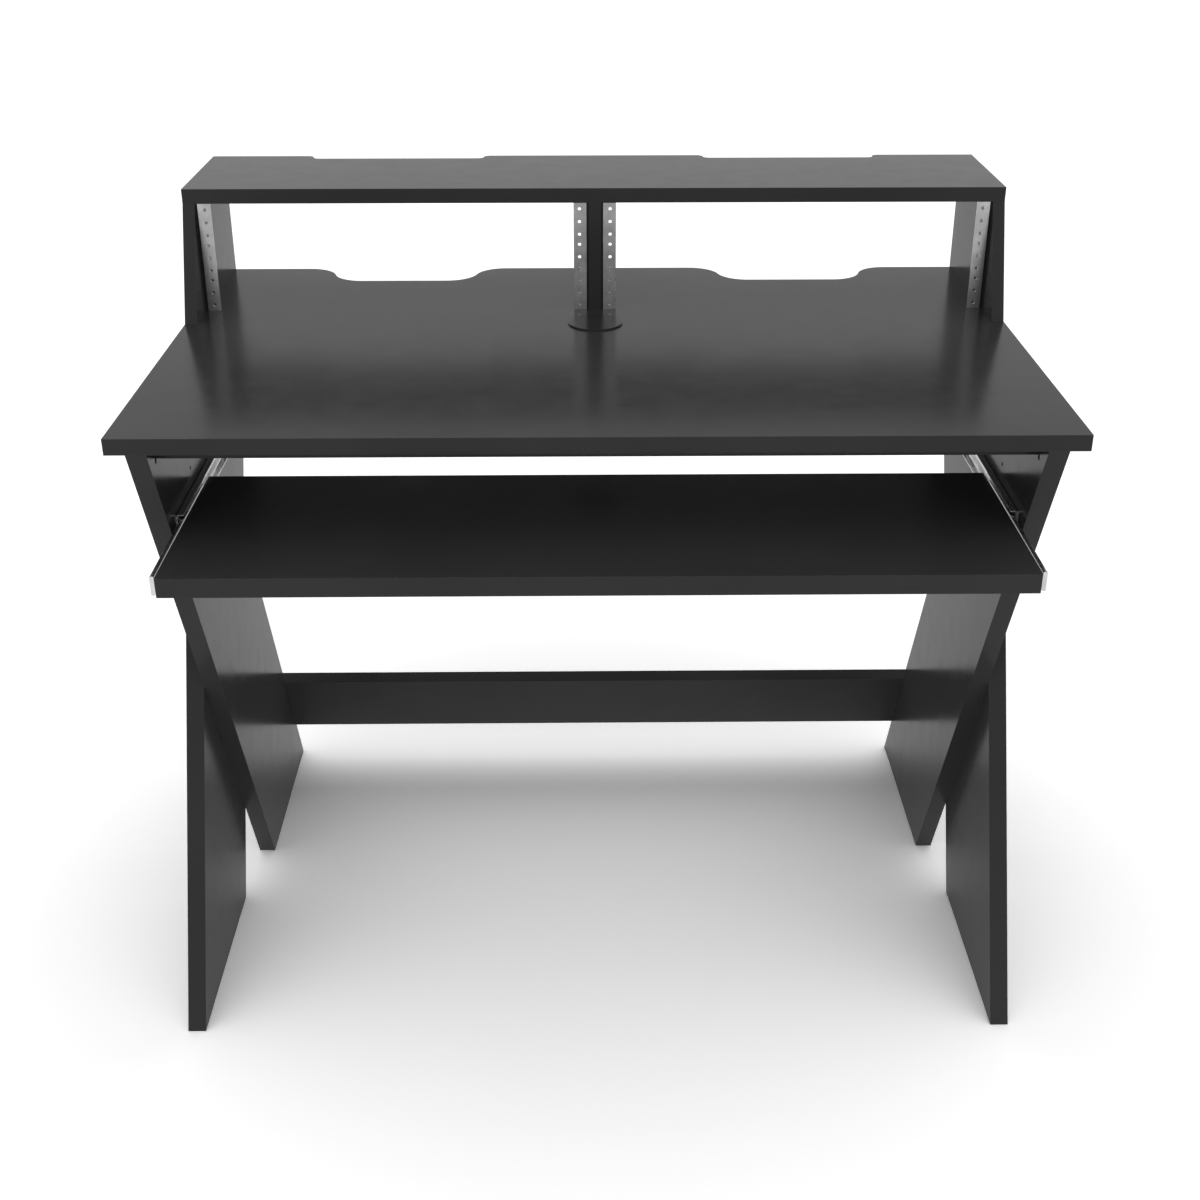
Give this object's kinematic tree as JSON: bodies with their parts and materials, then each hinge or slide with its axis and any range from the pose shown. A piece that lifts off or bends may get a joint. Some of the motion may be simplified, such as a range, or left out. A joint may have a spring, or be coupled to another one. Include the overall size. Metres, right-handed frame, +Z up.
{
  "type": "computer desk with keyboard tray",
  "caption": "Black board desk on crossed legs, with a raised rear shelf over two rack bays and a keyboard tray on telescopic slides.",
  "frame": {"origin": "on the floor, in the middle of the outline of the desk with its tray pulled 151 mm out", "axes": "+X to the user's right, +Y from the user towards the back, +Z up"},
  "size_m": [1.022, 0.722, 0.939],
  "materials": {
    "laminate": "satin black melamine laminate on board",
    "rail_steel": "bright zinc-plated steel",
    "slide_steel": "bright zinc-plated rolled steel",
    "cage_steel": "thin stamped steel",
    "ball_steel": "polished hardened steel",
    "screw_steel": "zinc-plated steel",
    "cam_zinc": "die-cast zinc",
    "beech": "fluted beech",
    "disc_plastic": "smooth black plastic"
  },
  "bodies": {
    "desk": {"desktop": "laminate", "riser_shelf": "laminate", "riser_side_left": "laminate", "riser_side_right": "laminate", "riser_divider": "laminate", "rack_rail_left_outer": "rail_steel", "rack_rail_left_inner": "rail_steel", "rack_rail_right_inner": "rail_steel", "rack_rail_right_outer": "rail_steel", "leg_inner_left": "laminate", "leg_inner_right": "laminate", "leg_outer_left": "laminate", "leg_outer_right": "laminate", "stretcher": "laminate", "batten": "laminate", "cable_hole_cap": "disc_plastic", "slide_fixed_left": "slide_steel", "slide_fixed_right": "slide_steel", "rail_spacers": "disc_plastic", "rail_screws": "screw_steel", "slide_leg_screws": "screw_steel", "leg_crossing_screws": "screw_steel", "leg_cams": "cam_zinc", "leg_cam_bolts": "cam_zinc", "leg_dowels": "beech", "riser_screws": "screw_steel", "shelf_dowels": "beech", "stretcher_screws": "screw_steel", "batten_screws": "screw_steel", "batten_end_screws": "screw_steel"},
    "tray": {"keyboard_tray": "laminate", "slide_drawer_left": "slide_steel", "slide_drawer_right": "slide_steel", "slide_tray_screws": "screw_steel"},
    "ball_cage_left": {"ball_cage_left": "cage_steel", "slide_balls_left": "ball_steel"},
    "ball_cage_right": {"ball_cage_right": "cage_steel", "slide_balls_right": "ball_steel"}
  },
  "joints": [
    {"name": "tray_slide", "type": "slide", "parent": "desk", "child": "tray", "axis": [0, -1, 0], "range_m": [-0.151, 0.03]},
    {"name": "ball_cage_left_run", "type": "slide", "parent": "desk", "child": "ball_cage_left", "axis": [0, -1, 0], "range_m": [-0.0755, 0.015]},
    {"name": "ball_cage_right_run", "type": "slide", "parent": "desk", "child": "ball_cage_right", "axis": [0, -1, 0], "range_m": [-0.0755, 0.015]}
  ],
  "couplings": [
    {"joint": "ball_cage_left_run", "follows": "tray_slide", "ratio": 0.5},
    {"joint": "ball_cage_right_run", "follows": "tray_slide", "ratio": 0.5}
  ]
}
